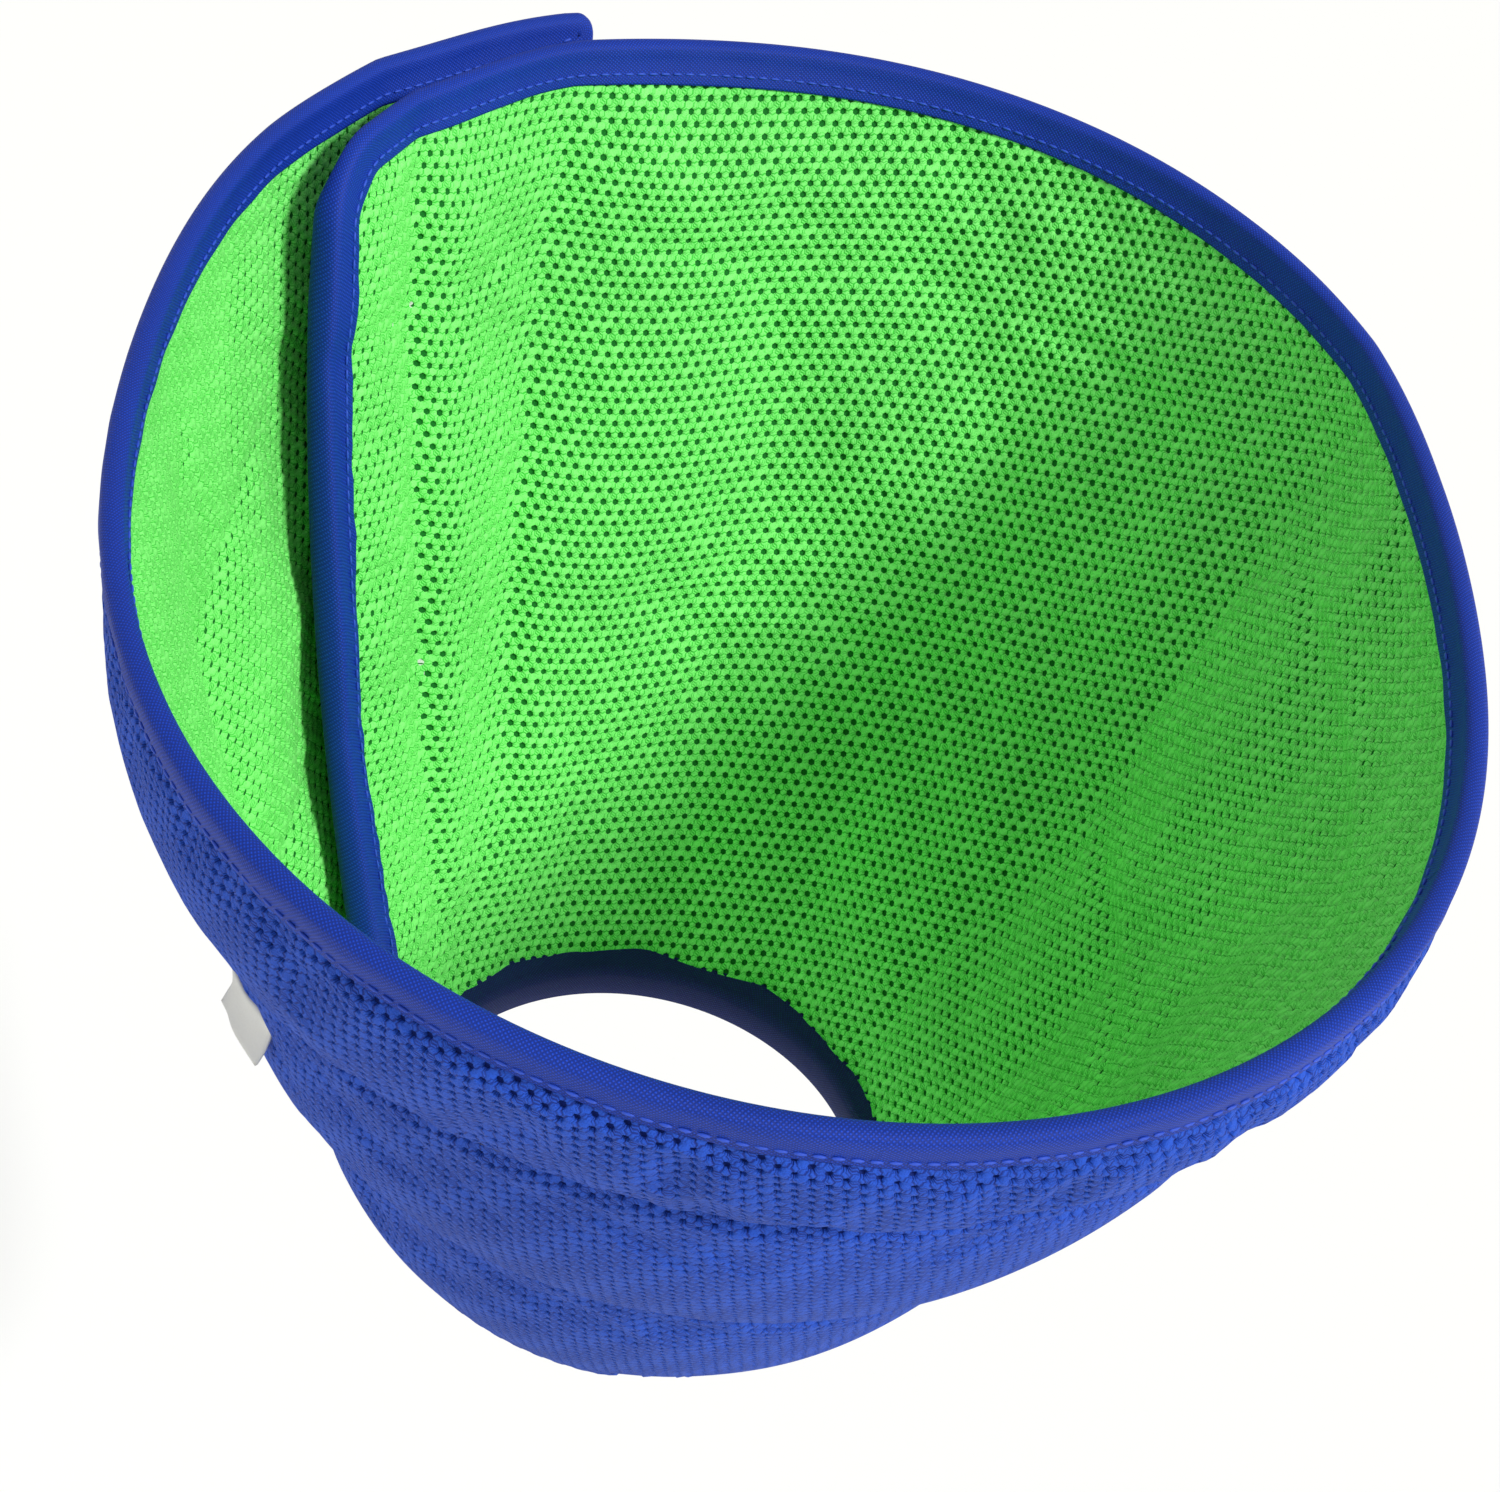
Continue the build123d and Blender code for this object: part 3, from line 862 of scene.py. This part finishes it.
def neck_rings(wrap):
    """Rings of the neck band's section, from its outer leg round to its inner one."""
    azimuth = np.radians(OUTER_END_AZIMUTH + wrap)
    outward = np.stack([np.cos(azimuth), np.sin(azimuth)], -1)
    outer = np.hypot(*worn(wrap, 0.0, 0.0)[:, :2].T) + TAPE
    inner = neck_face(wrap) - (WALL + TAPE) * ACROSS
    slope = BAND_SLOPE * (1.0 - fade(wrap, *BAND_UPRIGHT))
    top_outer = np.hypot(*worn(wrap, BAND_TOP / DEPTH, 0.0)[:, :2].T)
    top_inner = np.hypot(*worn(wrap, BAND_TOP / DEPTH, 1.0)[:, :2].T)
    middle = (outer + inner) / 2.0
    half = (outer - inner) / 2.0
    section = [(top_outer - 0.001, BAND_TOP), (top_outer + 0.7 * TAPE, BAND_TOP * 0.97),
               (top_outer * 0.45 + outer * 0.55 + 0.0007, BAND_TOP * 0.5), (outer + 0.0002, 0.002)]
    for angle in np.radians((-15, -45, -75, -105, -135, -165)):
        section.append((middle + half * math.cos(angle),
                        BAND_ROUND_HEIGHT + BAND_ROUND * math.sin(angle)))
    section += [(inner + slope * 0.004, 0.004), (inner + slope * 0.009, 0.009),
                (inner * 0.7 + top_inner * 0.3 - 0.0004, BAND_TOP * 0.93),
                (top_inner + 0.001, BAND_TOP)]
    rings = []
    for radius, z in section:
        rings.append(np.column_stack([outward * radius[:, None], np.full(len(wrap), z)]))
    return rings


bands = []
for k in range(1, 9):
    start, end = stretch(k)
    wrap = np.linspace(start, end, int((end - start) / 1.5) + 2)
    rings = neck_rings(wrap)
    caps = {1: (0,), 8: (-1,)}.get(k, ())
    bands.append(swept(f"neck_roll_{k}", rings, neck_cloth, path_lengths(rings[4]), caps))
tapes = [tape_along(f"edge_tape_{k}", edge_path(k), binding_tape) for k in range(1, 9)]
print("tapes:", len(tapes), "faces each:", [len(o.data.polygons) for o in tapes])

# %% [markdown]
# ## Stitching
# One row of light thread runs along each leg of the tape, and navy rows hold the ring seams.

# %% Rows of stitches
STITCH_PITCH, STITCH_LENGTH, THREAD_RADIUS = 0.0038, 0.0029, 0.00042
STITCH_INSET = TAPE_LEG - 0.0030


def stitched(name, points, material):
    """Row of beads along a line of points."""
    edges = np.stack([np.arange(len(points) - 1), np.arange(1, len(points))], -1)
    row = mesh_object(name, points, [], edges=edges)
    return apply_tree(row, stitch_row, pitch=STITCH_PITCH, stitch_length=STITCH_LENGTH,
                      thread_radius=THREAD_RADIUS, thread=material)


rows = {k: [] for k in range(1, 9)}
for k in range(1, 9):
    path = edge_path(k)
    start, end = stretch(k)
    for side, across in (("outer", 0.0), ("inner", 1.0)):
        line = beside(path, STITCH_INSET, across, TAPE + 0.0002)
        rows[k].append(stitched(f"tape_stitches_{side}_{k}", line, thread))
    for number, share in enumerate(SEAMS):
        last = flap_end(share) - FLAP_HELD if k == 8 else end
        wrap = np.linspace(start + (2.0 if k == 1 else 0.0), last, 90)
        line = worn(wrap, seam(number, wrap), 0.0)
        line += 0.0002 * face_normals(np.clip(wrap, 0.5, REACH - 0.5), seam(number, wrap), 0.0)
        rows[k].append(stitched(f"ring_stitches_{number + 1}_{k}", line, seam_thread))
print("stitch faces:", sum(len(o.data.polygons) for r in rows.values() for o in r))

# %% [markdown]
# ## Tabs and label
# Hook tape is sewn inside the outer end and loop tape outside the flap.  Each is a thin pad
# with rounded edges that lies on the wall.  The label is a small folded piece of satin ribbon.

# %% Pads on the wall
TAB_COUNT, TAB_WIDTH, TAB_HEIGHT, TAB_INSET, TAB_THICK = 3, 0.026, 0.038, 0.014, 0.0014
LOOP_MARGIN = 0.005
RIM_TAPE_LEG = 0.011


PAD_GRID = (19, 25)


def pad(name, left, width, low, tall, across, thick, material, stand=0.0):
    """Pad on a face of the wall from wrap left and height share low; its free edge stands off."""
    u, v = np.meshgrid(*(np.linspace(0.0, 1.0, count) for count in PAD_GRID), indexing="ij")
    height = low + v * tall / SLANT_LENGTH
    wrap = left + u * width * degrees_per_metre(left, height)
    rise = np.minimum(1.0, 12.0 * np.minimum(np.minimum(u, 1 - u), np.minimum(v, 1 - v))) ** 0.5
    side = -1.0 if across > 0.5 else 1.0
    normal = face_normals(wrap.ravel(), height.ravel(), across)
    base = worn(wrap, height, across) + side * normal * (stand * (1.0 - v) ** 2).reshape(-1, 1)
    top = base + side * normal * (thick * (0.35 + 0.65 * rise)).reshape(-1, 1)
    base = base - side * normal * 0.0004
    return closed_slab(name, base.reshape(*PAD_GRID, 3), top.reshape(*PAD_GRID, 3), material)


tab_pitch = (DEPTH - RIM_TAPE_LEG - BAND_TOP) / TAB_COUNT
hooks, loops = [], []
for number in range(TAB_COUNT):
    middle_z = BAND_TOP + tab_pitch * (number + 0.5)
    low = (middle_z - TAB_HEIGHT / 2.0) / DEPTH
    scale = float(degrees_per_metre(0.0, middle_z / DEPTH))
    hooks.append(pad(f"hook_tab_{number + 1}", TAB_INSET * scale, TAB_WIDTH, low, TAB_HEIGHT * ACROSS,
                     1.0, TAB_THICK, hook_tape))
    loops.append(pad(f"loop_tab_{number + 1}", 360.0 + (TAB_INSET - LOOP_MARGIN) * scale,
                     TAB_WIDTH + LOOP_MARGIN, low - LOOP_MARGIN / DEPTH,
                     (TAB_HEIGHT + 2 * LOOP_MARGIN) * ACROSS, 0.0, TAB_THICK, loop_tape))
LABEL_WIDTH, LABEL_THICK, LABEL_STAND = 0.020, 0.0008, 0.005
LABEL_WRAP = 229.0 - OUTER_END_AZIMUTH
label_low, label_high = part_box("care_label")
label_left = LABEL_WRAP - 0.5 * LABEL_WIDTH * float(degrees_per_metre(LABEL_WRAP, 0.8))
label = pad("blank_label", label_left, LABEL_WIDTH, label_low.z / DEPTH, label_high.z - label_low.z,
            0.0, LABEL_THICK, label_satin, stand=LABEL_STAND)

# %% [markdown]
# ## Pieces in place of the frame's solids
# Each piece has its placement baked and hides the plain solids it covers; the hook tabs and the
# label are parented to their panels' bodies.

# %% Bodies and soft pieces
def covers(name, k):
    """Frame nodes of one layer that a stretch stands for."""
    return f"{name}_{k}", f"{name}_{k + 1}"


def finished(obj, k, slot, *nodes):
    """Bake a piece's placement and hide the frame nodes it stands for."""
    bend(obj)
    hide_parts(*nodes)
    return obj


for k in range(1, 9):
    start, end = stretch(k)
    finished(linings[k - 1], k, "green_mesh", *covers("lining", k))
    finished(outers[k - 1], k, "blue_mesh", *covers("outer_mesh", k))
    finished(foams[k - 1], k, "foam", *covers("foam_board", k))
    ends = ["outer_end_binding"] if k == 1 else ["flap_end_binding"] if k == 8 else []
    finished(tapes[k - 1], k, "binding", *covers("rim_binding", k), *ends)
    finished(bands[k - 1], k, "neck_cloth", *covers("neck_band", k))
    for row in rows[k]:
        bend(row)
for piece in hooks:
    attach(piece, "panel_1")
    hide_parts("hook_tabs")
for piece in loops:
    bend(piece)
    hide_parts("loop_tabs")
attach(label, "panel_3")
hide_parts("care_label")

# %% [markdown]
# ## Camera, floor and light
# The collar is seen from in front and above, looking down into the cone, with a longish lens.
# A wide soft key from the right, a weak fill and a white world stand in for a studio.

# %% Camera
RIM_CENTRE = Vector((0.0, 0.0, DEPTH))
camera_data = bpy.data.cameras.new("camera")
camera_data.lens = 72.0
camera_data.sensor_width = 36.0
camera = bpy.data.objects.new("camera", camera_data)
bpy.context.scene.collection.objects.link(camera)
right = Vector((0.967, 0.163, 0.194)).normalized()
back = Vector((0.0, -0.765, 0.644))
back = (back - right * back.dot(right)).normalized()
up = back.cross(right)
place = RIM_CENTRE + Vector((0.0019, -0.6207, 0.4257))
camera.matrix_world = Matrix((
    (right.x, up.x, back.x, place.x), (right.y, up.y, back.y, place.y),
    (right.z, up.z, back.z, place.z), (0.0, 0.0, 0.0, 1.0)))
bpy.context.scene.camera = camera

# %% Floor
floor_height = -0.42
floor = mesh_object("floor", [(-40, -40, floor_height), (40, -40, floor_height),
                              (40, 40, floor_height), (-40, 40, floor_height)], [(0, 1, 2, 3)])
floor_paint = bpy.data.materials.new("pale_paper")
floor_paint.use_nodes = True
paint = floor_paint.node_tree.nodes["Principled BSDF"]
paint.inputs["Base Color"].default_value = linear("F2F2EF")
paint.inputs["Roughness"].default_value = 0.85
floor.data.materials.append(floor_paint)


# %% Lights
def soft_light(name, place, aim, size, power):
    """Large area light aimed at a point."""
    data = bpy.data.lights.new(name, "AREA")
    data.size = size
    data.energy = power
    obj = bpy.data.objects.new(name, data)
    turned = (Vector(aim) - Vector(place)).to_track_quat("-Z", "Y").to_matrix().to_4x4()
    obj.matrix_world = Matrix.Translation(place) @ turned
    bpy.context.scene.collection.objects.link(obj)
    return obj


sun = bpy.data.lights.new("key", "SUN")
sun.energy = 2.9
sun.angle = math.radians(12.0)
key = bpy.data.objects.new("key", sun)
key.matrix_world = Vector((0.80, -0.42, 0.85)).to_track_quat("Z", "Y").to_matrix().to_4x4()
bpy.context.scene.collection.objects.link(key)
soft_light("fill", Vector((-0.9, -1.1, 0.55)), (0, 0, 0.15), 0.8, 2.0)
world = bpy.data.worlds.new("studio")
world.use_nodes = True
world.node_tree.nodes["Background"].inputs["Color"].default_value = linear("FFFFFF")
world.node_tree.nodes["Background"].inputs["Strength"].default_value = 0.50
bpy.context.scene.world = world
bpy.context.scene.view_settings.view_transform = "Standard"
